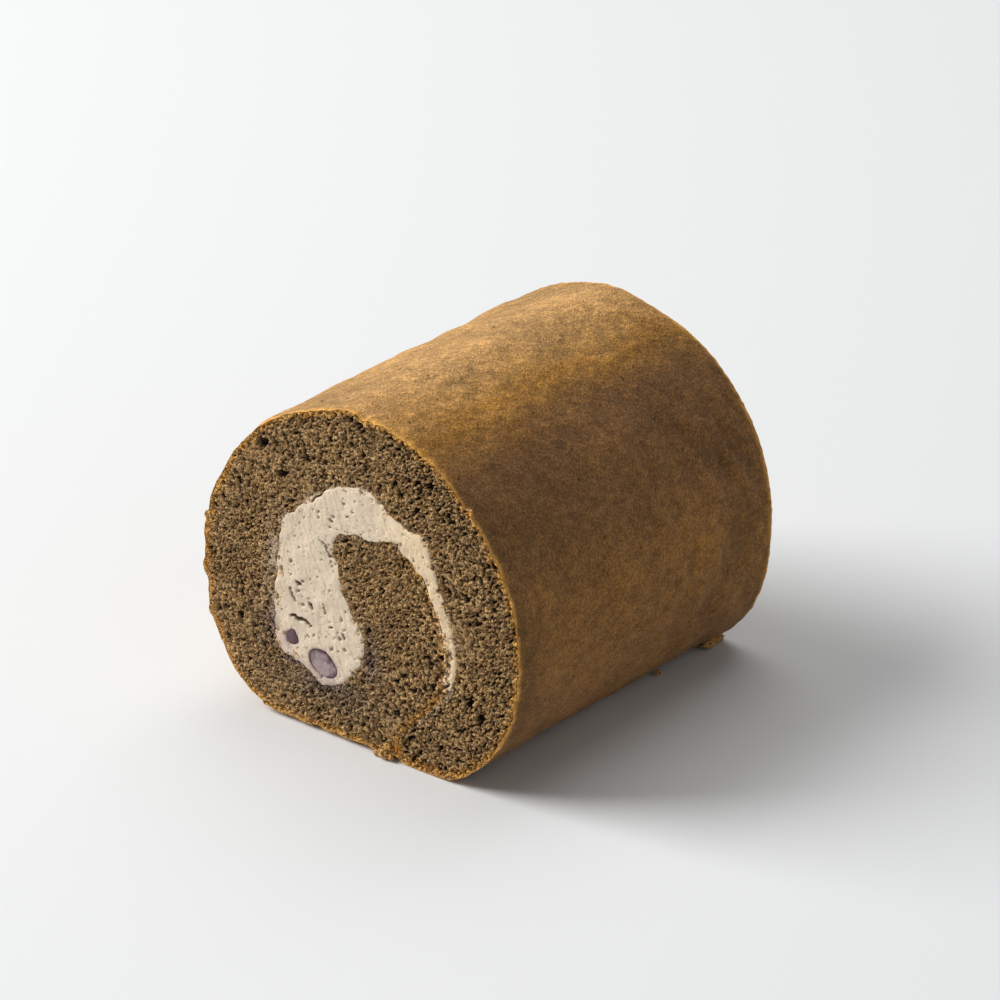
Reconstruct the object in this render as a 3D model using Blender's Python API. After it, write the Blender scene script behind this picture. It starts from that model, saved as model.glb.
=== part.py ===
"""Swiss roll cake: a short length of rolled sponge with a cream filling and sweet beans.

One thick sheet of brown sponge is rolled once round its own inner end.  In section it
runs from a tapered tail under the roll, up the right side, over the top, down the left
side and along the bottom, and then turns up into a tongue at the core.  Cream fills the
channel between the turns and thins out down the seam, which opens as a notch underneath.
Azuki beans lie low in the cream at both cut faces and are cut flush with them.

Frame: metres, +Z up, the roll's axis along Y, the front cut face at -Y.  The origin is
in the middle of the bottom of the bounding box, on the surface that the roll rests on.
Sections are drawn in millimetres, as X to the right and Z up, seen from the front.
"""

import math

import bmesh
import bpy
from mathutils import Matrix, Vector

MM = 0.001

# Driving dimensions, in millimetres and degrees
LENGTH = 98.0
AXIS_HEIGHT = 42.0          # height of the point that the section's radii start from
GAP = 0.3                   # between pieces that touch
SLIT = 0.4                  # between the two turns, down the seam
OUTLINE_STEP = 5.0          # spacing of the points round the outside
CHANNEL_STEP = 3.0          # spacing of the points along the cream
SEAM_STEP = 4.0

# The roll's radius every 15 degrees, anticlockwise from +X; the bottom is cut flat at Z = 0
RADII = [46.5, 45.0, 43.7, 42.9, 42.8, 42.6, 43.2, 42.4, 42.5, 43.1, 43.7, 45.1,
         46.7, 48.3, 50.7, 51.3, 50.0, 47.0, 45.5, 47.0, 49.6, 50.3, 49.6, 48.0]

# The seam, from the notch underneath up to the cream
SEAM = [(10.9, 1.8), (11.3, 5.2), (13.4, 8.9), (17.2, 12.9), (21.6, 17.7), (24.9, 22.0)]
NOTCH_LEFT = (9.4, 0.0)
NOTCH_RIGHT = (13.4, 0.0)

# The channel that holds the cream: up the tongue's right side, over its tip and down its
# left side, along the bottom of the pocket, and back up and over to the seam
TONGUE_SIDE = [(24.9, 24.0), (25.3, 32.5), (23.8, 40.5), (20.5, 47.6), (15.6, 52.6),
               (10.6, 56.0), (4.5, 54.7), (-0.5, 54.5), (-5.4, 53.3), (-7.4, 49.8),
               (-6.3, 45.6), (-4.6, 38.6), (-1.6, 33.4), (1.5, 28.8), (1.4, 23.6)]
POCKET_FLOOR = [(-1.2, 18.9), (-6.0, 14.8), (-11.5, 13.4), (-16.6, 16.4), (-22.0, 17.6)]
OUTER_SIDE = [(-25.2, 20.4), (-25.2, 30.0), (-24.1, 39.5), (-22.3, 51.0), (-16.2, 57.4),
              (-9.6, 63.2), (-3.0, 65.8), (3.6, 66.3), (11.6, 61.7), (17.0, 60.0),
              (20.3, 59.2), (22.4, 52.6), (26.0, 43.6), (28.8, 34.0), (28.2, 26.5), (26.2, 23.0)]

# How the section changes along the length
STATIONS = [0.0, 3.0, 8.0, 20.0, 35.0, 50.0, 65.0, 80.0, 90.0, 98.0]
RIM_LIFT = 1.0              # the front rim stands off the table left of the seam
RIM_DEPTH = 8.0
REAR_SAG = 2.8              # the rear end is fuller low on the right
SAG_ANGLE = -45.0
SAG_SPREAD = 24.0
REAR_SHRINK = 1.7           # and slighter at the top
SHRINK_ANGLE = 78.0
SHRINK_SPREAD = 26.0
REAR_TURN = 5.0             # how far the core is turned at the rear

# Beans: name, end of the roll, centre X and Z, depth of the centre behind the cut face,
# half depth, then the half length, half width and tilt of the section seen at the cut
BEANS = [("bean_front_large", -1, -10.8, 18.5, 1.0, 3.6, 4.3, 3.2, -25.0),
         ("bean_front_small", -1, -20.0, 22.4, 3.4, 4.3, 1.9, 1.8, 70.0),
         ("bean_rear_large", 1, -17.6, 21.6, 1.2, 3.5, 4.1, 3.1, 20.0),
         ("bean_rear_small", 1, -5.2, 20.6, 2.8, 4.2, 2.4, 2.1, -40.0)]
BEAN_SIDES = 16
BEAN_RINGS = 10

SPONGE_COLOUR = (0.16, 0.085, 0.035)
CREAM_COLOUR = (0.68, 0.53, 0.38)
BEAN_COLOUR = (0.22, 0.13, 0.14)


# ---------------------------------------------------------------- curves in the section

def catmull_rom(before, start, end, after, share):
    """A point on the uniform Catmull-Rom span from start to end."""
    return 0.5 * ((2 * start) + (end - before) * share
                  + (2 * before - 5 * start + 4 * end - after) * share ** 2
                  + (3 * start - before - 3 * end + after) * share ** 3)


def smooth_curve(points, step):
    """Evenly spaced points, about step apart, on a smooth open curve through points."""
    knots = [Vector(point) for point in points]
    knots = [2 * knots[0] - knots[1]] + knots + [2 * knots[-1] - knots[-2]]
    fine = []
    for index in range(1, len(knots) - 2):
        for part in range(12):
            fine.append(catmull_rom(*knots[index - 1:index + 3], part / 12))
    fine.append(knots[-2])
    return resample(fine, step)


def resample(line, step):
    """The same line with its points evenly spaced, about step apart."""
    reach = [0.0]
    for first, second in zip(line, line[1:]):
        reach.append(reach[-1] + (second - first).length)
    count = max(2, round(reach[-1] / step))
    spaced, span = [], 0
    for index in range(count + 1):
        goal = reach[-1] * index / count
        while span < len(line) - 2 and reach[span + 1] < goal:
            span += 1
        share = (goal - reach[span]) / (reach[span + 1] - reach[span])
        spaced.append(line[span].lerp(line[span + 1], min(share, 1.0)))
    return spaced


def shifted(line, distance):
    """The line moved sideways, to the right of its own direction."""
    moved = []
    for index, point in enumerate(line):
        ahead = line[min(index + 1, len(line) - 1)] - line[max(index - 1, 0)]
        side = Vector((ahead.y, -ahead.x)).normalized()
        moved.append(point + side * distance)
    return moved


def outline_radius(angle):
    """The roll's radius, before it is cut flat underneath, at an angle in degrees."""
    place = (angle % 360.0) / 360.0 * len(RADII)
    index = int(place)
    around = [RADII[(index + offset) % len(RADII)] for offset in (-1, 0, 1, 2)]
    return catmull_rom(*around, place - index)


def outline():
    """The outside of the sheet, anticlockwise from the tail's tip to the other notch side."""
    start = math.degrees(math.atan2(-AXIS_HEIGHT, NOTCH_RIGHT[0]))
    end = math.degrees(math.atan2(-AXIS_HEIGHT, NOTCH_LEFT[0])) + 360.0
    fine = []
    for index in range(361):
        angle = start + (end - start) * index / 360
        radius = outline_radius(angle)
        height = AXIS_HEIGHT + radius * math.sin(math.radians(angle))
        if height < 0:
            radius = -AXIS_HEIGHT / math.sin(math.radians(angle))
            height = 0.0
        fine.append(Vector((radius * math.cos(math.radians(angle)), height)))
    return resample(fine, OUTLINE_STEP)


def channel():
    """The edge of the cream's channel, from the seam round the tongue and back."""
    return smooth_curve(TONGUE_SIDE + POCKET_FLOOR + OUTER_SIDE, CHANNEL_STEP)


def sponge_section():
    """The sheet of sponge as one closed loop."""
    seam = smooth_curve(SEAM, SEAM_STEP)
    tongue_side = shifted(seam, -SLIT / 2)
    tail_side = shifted(seam, SLIT / 2)
    return outline() + tongue_side + channel() + tail_side[::-1]


def cream_section():
    """The cream as one closed loop, a gap inside its channel."""
    return shifted(channel(), GAP)


# ------------------------------------------------------------- unevenness along the roll

def bump(angle, centre, spread):
    """A smooth hump round the section, 1 at centre and falling away over spread degrees."""
    off = (angle - centre + 180.0) % 360.0 - 180.0
    return math.exp(-(off / spread) ** 2)


def placed(point, depth):
    """Where a point of the drawn section lies at a depth behind the front face."""
    along = depth / LENGTH
    offset = point - Vector((0, AXIS_HEIGHT))
    angle = math.degrees(math.atan2(offset.y, offset.x))
    share = min(offset.length / outline_radius(angle), 1.0)
    growth = (REAR_SAG * along ** 2 * bump(angle, SAG_ANGLE, SAG_SPREAD)
              - REAR_SHRINK * along * bump(angle, SHRINK_ANGLE, SHRINK_SPREAD))
    radius = offset.length + growth * share ** 2
    core = max(0.0, 1.0 - (share / 0.8) ** 2)
    turned = math.radians(angle - REAR_TURN * along * core)
    x = radius * math.cos(turned)
    z = AXIS_HEIGHT + radius * math.sin(turned)
    if point.x < NOTCH_LEFT[0] + 0.01 and depth < RIM_DEPTH:
        low = max(0.0, 1.0 - max(z, 0.0) / RIM_DEPTH)
        z = max(z, 0.0) + RIM_LIFT * low * (1.0 - depth / RIM_DEPTH) ** 2
    return Vector((x * MM, (depth - LENGTH / 2) * MM, max(z, 0.0) * MM))


# ------------------------------------------------------------------------------ objects

def material(name, colour, roughness):
    """A plain Principled material."""
    made = bpy.data.materials.new(name)
    made.use_nodes = True
    shader = made.node_tree.nodes["Principled BSDF"]
    shader.inputs["Base Color"].default_value = (*colour, 1.0)
    shader.inputs["Roughness"].default_value = roughness
    shader.inputs["Metallic"].default_value = 0.0
    return made


def add_mesh(name, mesh, collection, parent, finish=None):
    """A named object for a mesh, in a collection, under the roll's own empty."""
    made = bpy.data.objects.new(name, mesh)
    collection.objects.link(made)
    made.parent = parent
    if finish:
        mesh.materials.append(finish)
    return made


def loft(name, section):
    """A closed solid through the section at every station, capped at both cut faces."""
    shape = bmesh.new()
    rings = [[shape.verts.new(placed(point, depth)) for point in section]
             for depth in STATIONS]
    for near, far in zip(rings, rings[1:]):
        for index in range(len(section)):
            after = (index + 1) % len(section)
            shape.faces.new((near[index], near[after], far[after], far[index]))
    shape.faces.new(rings[0])
    shape.faces.new(rings[-1][::-1])
    bmesh.ops.recalc_face_normals(shape, faces=shape.faces)
    bmesh.ops.triangulate(shape, faces=shape.faces, ngon_method="EAR_CLIP")
    mesh = bpy.data.meshes.new(name)
    shape.to_mesh(mesh)
    shape.free()
    mesh.set_sharp_from_angle(angle=math.radians(35))
    return mesh


def bean_mesh(name, end, x, z, depth, half_depth, half_length, half_width, tilt, swell):
    """An azuki bean as an ellipsoid whose section at the cut has the stated half sizes."""
    cut_share = math.sqrt(1.0 - (depth / half_depth) ** 2)
    size = ((half_length / cut_share + swell) * MM,
            (half_depth + swell) * MM,
            (half_width / cut_share + swell) * MM)
    shape = bmesh.new()
    bmesh.ops.create_uvsphere(shape, u_segments=BEAN_SIDES, v_segments=BEAN_RINGS, radius=1.0)
    turn = Matrix.Rotation(math.radians(-tilt), 4, "Y")
    centre = placed(Vector((x, z)), depth if end < 0 else LENGTH - depth)
    shape.transform(Matrix.Translation(centre) @ turn @ Matrix.Diagonal((*size, 1.0)))
    mesh = bpy.data.meshes.new(name)
    shape.to_mesh(mesh)
    shape.free()
    return mesh


def knife_mesh(end):
    """A slab that holds everything outside one cut face."""
    shape = bmesh.new()
    bmesh.ops.create_cube(shape, size=1.0)
    middle = Vector((0, end * (LENGTH / 2 + 10) * MM, AXIS_HEIGHT * MM))
    size = Matrix.Diagonal((200 * MM, 20 * MM, 200 * MM, 1.0))
    shape.transform(Matrix.Translation(middle) @ size)
    mesh = bpy.data.meshes.new("knife")
    shape.to_mesh(mesh)
    shape.free()
    return mesh


def cut(target, cutter):
    """Take the cutter's volume away from the target."""
    boolean = target.modifiers.new("cut_" + cutter.name, "BOOLEAN")
    boolean.operation = "DIFFERENCE"
    boolean.solver = "EXACT"
    boolean.object = cutter


def as_cutter(made):
    """Hide a helper solid from the build."""
    made.hide_render = True
    made.display_type = "WIRE"
    return made


def add_beans(cream, parts, cutters, parent):
    """The beans, cut flush with the faces, and their pockets in the cream."""
    finish = material("bean", BEAN_COLOUR, 0.45)
    knives = {end: as_cutter(add_mesh(f"knife_{end + 1}", knife_mesh(end), cutters, parent))
              for end in (-1, 1)}
    for name, end, *sizes in BEANS:
        bean = add_mesh(name, bean_mesh(name, end, *sizes, 0.0), parts, parent, finish)
        cut(bean, knives[end])
        pocket = bean_mesh(name + "_pocket", end, *sizes, GAP)
        cut(cream, as_cutter(add_mesh(name + "_pocket", pocket, cutters, parent)))


def new_collection(name):
    """A collection in the scene."""
    made = bpy.data.collections.new(name)
    bpy.context.scene.collection.children.link(made)
    return made


def clear_scene():
    """Remove whatever the scene holds."""
    for thing in list(bpy.data.objects):
        bpy.data.objects.remove(thing, do_unlink=True)


def main():
    clear_scene()
    parts = new_collection("swiss_roll_cake")
    cutters = new_collection("cutters")

    sheet = loft("sponge", sponge_section())
    reach = [vertex.co.x for vertex in sheet.vertices]
    centre = bpy.data.objects.new("roll_centre", None)
    centre.location = (-(min(reach) + max(reach)) / 2, 0, 0)
    parts.objects.link(centre)

    add_mesh("sponge", sheet, parts, centre, material("sponge", SPONGE_COLOUR, 0.9))
    filling = loft("cream", cream_section())
    cream = add_mesh("cream", filling, parts, centre, material("cream", CREAM_COLOUR, 0.6))
    add_beans(cream, parts, cutters, centre)


main()
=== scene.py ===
import math

import bmesh
import bpy
import numpy as np
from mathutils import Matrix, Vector, kdtree


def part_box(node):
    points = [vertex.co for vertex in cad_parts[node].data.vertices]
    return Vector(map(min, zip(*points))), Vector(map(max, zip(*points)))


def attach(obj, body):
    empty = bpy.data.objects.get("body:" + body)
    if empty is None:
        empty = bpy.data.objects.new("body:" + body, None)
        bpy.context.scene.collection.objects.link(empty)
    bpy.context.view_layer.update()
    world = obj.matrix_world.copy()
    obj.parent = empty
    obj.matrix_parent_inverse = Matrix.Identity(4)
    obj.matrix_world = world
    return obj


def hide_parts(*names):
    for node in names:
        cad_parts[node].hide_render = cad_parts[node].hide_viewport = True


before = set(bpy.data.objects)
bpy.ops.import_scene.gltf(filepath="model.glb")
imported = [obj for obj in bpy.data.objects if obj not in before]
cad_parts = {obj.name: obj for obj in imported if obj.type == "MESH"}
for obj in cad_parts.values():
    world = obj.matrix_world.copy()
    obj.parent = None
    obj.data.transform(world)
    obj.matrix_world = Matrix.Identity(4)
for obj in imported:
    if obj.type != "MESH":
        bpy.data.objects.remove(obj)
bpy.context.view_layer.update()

MM = 0.001
(_, FRONT, _), (_, REAR, _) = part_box("sponge")
LENGTH = REAR - FRONT
MIDDLE = 42.0 * MM          # height of the roll's middle

# The seam underneath, where the sheet's tail meets the inner turn
SEAM_X = 11.3 * MM
NOTCH_HALF_WIDTH = 2.0 * MM
SKIN_TUCK = 2               # section points that the skin follows up into the seam

# Mesh spacing, in metres
FRONT_STEP = 0.178 * MM
REAR_STEP = 0.265 * MM
CREAM_STEP = 0.22 * MM
BEAN_STEP = 0.14 * MM
SKIN_ROUND = 480            # skin points round the roll
SKIN_STEP = 0.62 * MM       # and the spacing along it

# Rings behind a cut face: depth and how far each is drawn in, in metres
MERGE = 0.3 * MM            # section points closer than this are one
SLAB = 5.0 * MM
SPONGE_BACK = [(0.25 * MM, 0.10 * MM), (0.8 * MM, 0.4 * MM), (2.2 * MM, 1.1 * MM), (SLAB, 1.5 * MM)]
CREAM_BACK = [(SLAB, 0.0)]
BEAN_BACK = [(0.5 * MM, -0.05 * MM), (1.4 * MM, 0.15 * MM), (2.3 * MM, 0.6 * MM), (2.9 * MM, 1.1 * MM)]


# ----------------------------------------------------------------------- seeded noise

def scramble(i, j, seed):
    """A repeatable random number from 0 to 1 for each pair of whole numbers."""
    n = (i.astype(np.int64) * 374761393 + j.astype(np.int64) * 668265263
         + seed * 974634777) & 0xFFFFFFFF
    n = ((n ^ (n >> 13)) * 1274126177) & 0xFFFFFFFF
    n = ((n ^ (n >> 15)) * 2246822519) & 0xFFFFFFFF
    return ((n ^ (n >> 16)) & 0xFFFFFF) / 0xFFFFFF


def soft_noise(x, y, size, seed):
    """Smooth noise from -1 to 1 with features of about the given size."""
    u, v = x / size, y / size
    i, j = np.floor(u), np.floor(v)
    s, t = u - i, v - j
    s, t = s * s * (3 - 2 * s), t * t * (3 - 2 * t)
    near = scramble(i, j, seed) * (1 - s) + scramble(i + 1, j, seed) * s
    far = scramble(i, j + 1, seed) * (1 - s) + scramble(i + 1, j + 1, seed) * s
    return (near * (1 - t) + far * t) * 2 - 1


def rough_noise(x, y, size, seed, octaves=4):
    """Noise with finer and finer detail, about -1 to 1."""
    total, weight = np.zeros_like(x), 0.0
    for octave in range(octaves):
        share = 0.5 ** octave
        total += share * soft_noise(x, y, size * share, seed + 17 * octave)
        weight += share
    return total / weight * 1.4


def cells(x, y, size, seed, jitter=0.9):
    """Distances to the nearest two of a scatter of points, in units of size, and the
    nearest one's own random number."""
    u, v = x / size, y / size
    i, j = np.floor(u), np.floor(v)
    first = np.full(x.shape, 9.0)
    second = np.full(x.shape, 9.0)
    number = np.zeros(x.shape)
    for a in (-1, 0, 1):
        for b in (-1, 0, 1):
            px = i + a + 0.5 + jitter * (scramble(i + a, j + b, seed) - 0.5)
            py = j + b + 0.5 + jitter * (scramble(i + a, j + b, seed + 1) - 0.5)
            away = np.hypot(px - u, py - v)
            closer = away < first
            second = np.where(closer, first, np.minimum(second, away))
            number = np.where(closer, scramble(i + a, j + b, seed + 2), number)
            first = np.where(closer, away, first)
    return first, second, number


def step_up(value, low, high):
    """0 below low, 1 above high, smooth between."""
    share = np.clip((value - low) / (high - low), 0, 1)
    return share * share * (3 - 2 * share)


# ------------------------------------------------------------- sections of the CAD frame

def solid(node):
    """A CAD node's merged points and its triangles."""
    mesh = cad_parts[node].data
    mesh.calc_loop_triangles()
    points = np.array([vertex.co for vertex in mesh.vertices])
    corners = np.array([triangle.vertices for triangle in mesh.loop_triangles])
    merged, index = np.unique(np.round(points, 6), axis=0, return_inverse=True)
    return merged, index.reshape(-1)[corners]


def section_loops(node, y):
    """The closed loops, longest first, in which the plane at y cuts a CAD node."""
    points, corners = solid(node)
    above = points[:, 1] > y
    links = {}
    for triangle in corners[(above[corners].sum(1) % 3) != 0]:
        ends = []
        for first, second in zip(triangle, np.roll(triangle, -1)):
            if above[first] != above[second]:
                ends.append((min(first, second), max(first, second)))
        links.setdefault(ends[0], []).append(ends[1])
        links.setdefault(ends[1], []).append(ends[0])
    loops = []
    while links:
        here = next(iter(links))
        chain = []
        while here in links:
            chain.append(here)
            follow = [after for after in links.pop(here) if after in links]
            if not follow:
                break
            here = follow[0]
        loop = []
        for first, second in chain:
            share = (y - points[first, 1]) / (points[second, 1] - points[first, 1])
            point = points[first] + share * (points[second] - points[first])
            if not loop or np.hypot(*(point[[0, 2]] - loop[-1])) > MERGE:
                loop.append(point[[0, 2]])
        loop = np.array(loop if np.hypot(*(loop[0] - loop[-1])) > MERGE else loop[:-1])
        area = np.sum(loop[:, 0] * np.roll(loop[:, 1], -1) - loop[:, 1] * np.roll(loop[:, 0], -1))
        loops.append(loop if area > 0 else loop[::-1])
    return sorted(loops, key=lambda loop: -np.hypot(*np.diff(loop, axis=0).T).sum())


def sheet_section(y):
    """The sheet's loop at y, started at the tail's tip, and the place in it of the other
    side of the notch."""
    loop = section_loops("sponge", y)[0]
    start = np.argmin(np.hypot(loop[:, 0] - SEAM_X - NOTCH_HALF_WIDTH, loop[:, 1]))
    loop = np.roll(loop, -start, axis=0)
    end = np.argmin(np.hypot(loop[:, 0] - SEAM_X + NOTCH_HALF_WIDTH, loop[:, 1] - 0.5 * MM))
    return loop, end


def curve(points, step=None, count=None):
    """Evenly spaced points on a smooth open curve through points."""
    knots = np.vstack([2 * points[0] - points[1], points, 2 * points[-1] - points[-2]])
    share = np.linspace(0, 1, 24, endpoint=False)[:, None]
    spans = []
    for a, b, c, d in zip(knots, knots[1:], knots[2:], knots[3:]):
        spans.append(0.5 * (2 * b + (c - a) * share + (2 * a - 5 * b + 4 * c - d) * share ** 2
                            + (3 * b - a - 3 * c + d) * share ** 3))
    fine = np.vstack(spans + [points[-1]])
    reach = np.concatenate([[0], np.cumsum(np.hypot(*np.diff(fine, axis=0).T))])
    if count is None:
        count = max(4, int(round(reach[-1] / step)) + 1)
    places = np.linspace(0, reach[-1], count)
    return np.column_stack([np.interp(places, reach, fine[:, k]) for k in (0, 1)])


def outward(line):
    """Unit vectors to the right of the line's direction, so out of an anticlockwise loop."""
    along = np.gradient(line, axis=0)
    along /= np.hypot(*along.T)[:, None] + 1e-12
    return np.column_stack([along[:, 1], -along[:, 0]])


def distances(points, line):
    """How far each point is from a densely sampled line, and the nearest sample's index."""
    tree = kdtree.KDTree(len(line))
    for index, (x, z) in enumerate(line):
        tree.insert((x, z, 0), index)
    tree.balance()
    found = [tree.find((x, z, 0)) for x, z in points]
    return (np.array([entry[2] for entry in found]), np.array([entry[1] for entry in found]))


def left_of(points, line):
    """How far each point is from a densely sampled line, negative on the line's right."""
    away, index = distances(points, line)
    along = np.gradient(line, axis=0)[index]
    off = points - line[index]
    return np.where(along[:, 0] * off[:, 1] > along[:, 1] * off[:, 0], away, -away)


def is_inside(points_x, points_z, loop):
    """Which points of a grid lie inside a closed loop."""
    inside = np.zeros(points_x.shape, bool)
    after = np.roll(loop, -1, axis=0)
    for row in range(points_z.shape[0]):
        z = points_z[row, 0]
        crossing = (loop[:, 1] > z) != (after[:, 1] > z)
        a, b = loop[crossing], after[crossing]
        places = np.sort(a[:, 0] + (z - a[:, 1]) / (b[:, 1] - a[:, 1]) * (b[:, 0] - a[:, 0]))
        inside[row] = np.searchsorted(places, points_x[row]) % 2 == 1
    return inside


# ------------------------------------------------------------------------ mesh building

def make_object(name, points, faces, finish, values=None):
    """A smooth-shaded mesh object with named values on its points."""
    mesh = bpy.data.meshes.new(name)
    mesh.from_pydata(points.tolist(), [], faces)
    mesh.update()
    for label, numbers in (values or {}).items():
        layer = mesh.attributes.new(label, "FLOAT", "POINT")
        layer.data.foreach_set("value", np.asarray(numbers, np.float32))
    mesh.shade_smooth()
    mesh.materials.append(finish)
    made = bpy.data.objects.new(name, mesh)
    bpy.context.scene.collection.objects.link(made)
    return made


def close_up(made, shown):
    """Fills a mesh's last open loops, and makes a hard edge round its first faces, the
    ones that are shown."""
    shape = bmesh.new()
    shape.from_mesh(made.data)
    shape.faces.ensure_lookup_table()
    for edge in shape.edges:
        ends = [face.index < shown for face in edge.link_faces]
        edge.smooth = all(ends) or not any(ends)
    open_edges = [edge for edge in shape.edges if edge.is_boundary]
    if open_edges:
        bmesh.ops.triangle_fill(shape, use_beauty=True, edges=open_edges)
    bmesh.ops.triangulate(shape, faces=[face for face in shape.faces if len(face.verts) > 4])
    bmesh.ops.recalc_face_normals(shape, faces=shape.faces)
    shape.to_mesh(made.data)
    shape.free()


def face_grid(lines, step, seed):
    """A fine grid that fills the region inside the first closed line and outside the
    others, with its rim moved onto them: its points and its quads."""
    low, high = lines[0].min(0) - 2 * step, lines[0].max(0) + 2 * step
    grid_x, grid_z = np.meshgrid(np.arange(low[0], high[0], step), np.arange(low[1], high[1], step))
    middle_x, middle_z = grid_x[:-1, :-1] + step / 2, grid_z[:-1, :-1] + step / 2
    used = is_inside(middle_x, middle_z, lines[0])
    for hole in lines[1:]:
        used &= ~is_inside(middle_x, middle_z, hole)

    count = np.zeros(grid_x.shape, int)
    for a in (0, 1):
        for b in (0, 1):
            count[a:count.shape[0] - 1 + a, b:count.shape[1] - 1 + b] += used
    kept = count > 0
    index = np.cumsum(kept).reshape(kept.shape) - 1
    points = np.column_stack([grid_x[kept], grid_z[kept]])
    rim = count[kept] < 4

    place = np.arange(len(points))
    wobble = np.column_stack([scramble(place, place * 0, seed + k) * 2 - 1 for k in (0, 1)])
    points += 0.28 * step * (1 - rim[:, None]) * wobble
    edge = np.vstack(lines)
    points[rim] = edge[distances(points[rim], edge)[1]]
    a, b = index[:-1, :-1][used], index[:-1, 1:][used]
    c, d = index[1:, 1:][used], index[1:, :-1][used]
    return points, np.column_stack([a, b, c, d])


def slab(name, flat, quads, height, values, front, back, finish):
    """A closed slab whose face is a cut surface in relief.  height is each point's, out of
    the cut being positive; back lists the depth and inset of each ring behind the face."""
    chosen, inverse = np.unique(quads, return_inverse=True)
    flat, height = flat[chosen], height[chosen]
    values = {label: numbers[chosen] for label, numbers in values.items()}
    quads = inverse.reshape(quads.shape)
    plane, out = (FRONT, -1.0) if front else (REAR, 1.0)
    if not front:
        quads = quads[:, ::-1]

    edges = np.vstack([quads[:, [k, (k + 1) % 4]] for k in range(4)])
    key = np.sort(edges, axis=1)
    _, first, uses = np.unique(key[:, 0] * len(flat) + key[:, 1], return_index=True, return_counts=True)
    rim_edges = edges[first[uses == 1]]
    rim = np.unique(rim_edges)
    along = flat[rim_edges[:, 1]] - flat[rim_edges[:, 0]]
    inward = np.zeros(flat.shape)
    for column in (0, 1):
        np.add.at(inward, rim_edges[:, column], -out * np.column_stack([-along[:, 1], along[:, 0]]))
    for _ in range(12):
        spread = inward.copy()
        np.add.at(spread, rim_edges[:, 0], inward[rim_edges[:, 1]])
        np.add.at(spread, rim_edges[:, 1], inward[rim_edges[:, 0]])
        inward = spread / 3.0
    inward = inward[rim] / (np.hypot(*inward[rim].T)[:, None] + 1e-9)

    faces = quads.tolist()
    layers = [np.column_stack([flat[:, 0], plane + out * height, flat[:, 1]])]
    before = dict(zip(rim.tolist(), rim.tolist()))
    total = len(flat)
    for depth, inset in back:
        ring = flat[rim] + inward * inset
        layers.append(np.column_stack([ring[:, 0], np.full(len(rim), plane - out * depth), ring[:, 1]]))
        behind = dict(zip(rim.tolist(), range(total, total + len(rim))))
        for start, end in rim_edges.tolist():
            faces.append((before[end], before[start], behind[start], behind[end]))
        before = behind
        total += len(rim)
    points = np.vstack(layers)
    points[:, 2] = np.maximum(points[:, 2], 0.0)
    for label in values:
        values[label] = np.concatenate([values[label], np.zeros(total - len(flat))])
    made = make_object(name, points, faces, finish, values)
    close_up(made, len(quads))
    return made


# ------------------------------------------------------------------------ the cut faces

# Larger holes in the crumb: X, Z, half width, half height and tilt, in mm and degrees
CRUMB_HOLES = [(-28.2, 69.8, 1.8, 1.4, 10), (-22.2, 63.3, 2.0, 1.05, 10), (-14.6, 69.4, 0.8, 1.1, 0),
               (13.0, 68.4, 1.1, 1.0, -20), (21.4, 73.2, 1.0, 0.9, 0), (32.5, 22.7, 0.9, 1.7, -8),
               (35.5, 19.3, 1.8, 1.1, 40), (34.8, 43.6, 0.8, 0.9, 0), (13.0, 19.4, 0.6, 0.7, 0),
               (23.4, 3.3, 0.9, 0.45, -5), (-3.2, 52.4, 0.9, 0.7, 30), (30.4, 14.0, 0.7, 0.6, 0),
               (1.4, 82.0, 1.5, 0.8, -8), (5.2, 81.6, 0.9, 0.7, 0), (-1.8, 82.6, 0.6, 0.5, 0)]

# Long cracks and blowholes in the front of the cream: points and half width, in mm
CREAM_CRACKS = [([(-20.2, 28.2), (-19.0, 28.4), (-18.2, 27.6), (-16.6, 28.0), (-15.3, 27.6), (-14.4, 26.9)], 0.62),
                ([(-11.2, 50.4), (-9.6, 49.6), (-8.4, 47.4), (-7.6, 44.6)], 0.24),
                ([(-20.1, 35.2), (-19.6, 33.6), (-19.0, 32.4)], 0.40),
                ([(-14.8, 32.9), (-13.6, 31.8)], 0.55),
                ([(-18.3, 37.4), (-17.2, 37.0)], 0.50),
                ([(-10.2, 33.0), (-9.9, 31.8)], 0.40),
                ([(-4.4, 28.0), (-4.0, 26.9)], 0.42),
                ([(-5.7, 27.2), (-5.4, 26.6)], 0.30),
                ([(-8.9, 28.6), (-6.6, 28.9)], 0.20),
                ([(-8.2, 56.4), (-7.0, 55.8)], 0.30),
                ([(-11.9, 57.7), (-10.9, 57.4)], 0.28),
                ([(-2.9, 58.7), (-2.5, 58.3)], 0.30),
                ([(-15.4, 24.4), (-14.2, 23.6)], 0.22)]


# Where the cream has come away from the sponge at the front: points in mm
OPEN_EDGE = [(-13.0, 59.4), (-12.2, 60.6), (-10.6, 61.6), (-9.6, 63.2), (-8.2, 64.2)]

# Tabs and nicks of the crust round the front edge: degrees round the roll, half width in
# mm and how far they stand out in mm, a nick being negative
TABS = [(174.5, 0.9, 0.9), (179.0, 3.2, 0.35), (191.5, 1.6, 0.75), (196.0, 1.1, -0.4),
        (204.3, 1.1, 0.8), (215.0, 1.6, -0.3), (40.6, 0.8, 0.8), (37.5, 1.6, -0.3),
        (12.0, 1.2, 0.3), (-24.5, 1.2, 0.5), (-19.0, 0.9, -0.4), (87.0, 1.5, -1.1),
        (83.0, 1.2, -0.6), (79.5, 1.0, 0.35), (93.0, 1.0, 0.3), (252.0, 1.4, -0.4), (58.0, 0.9, 0.3)]


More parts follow.
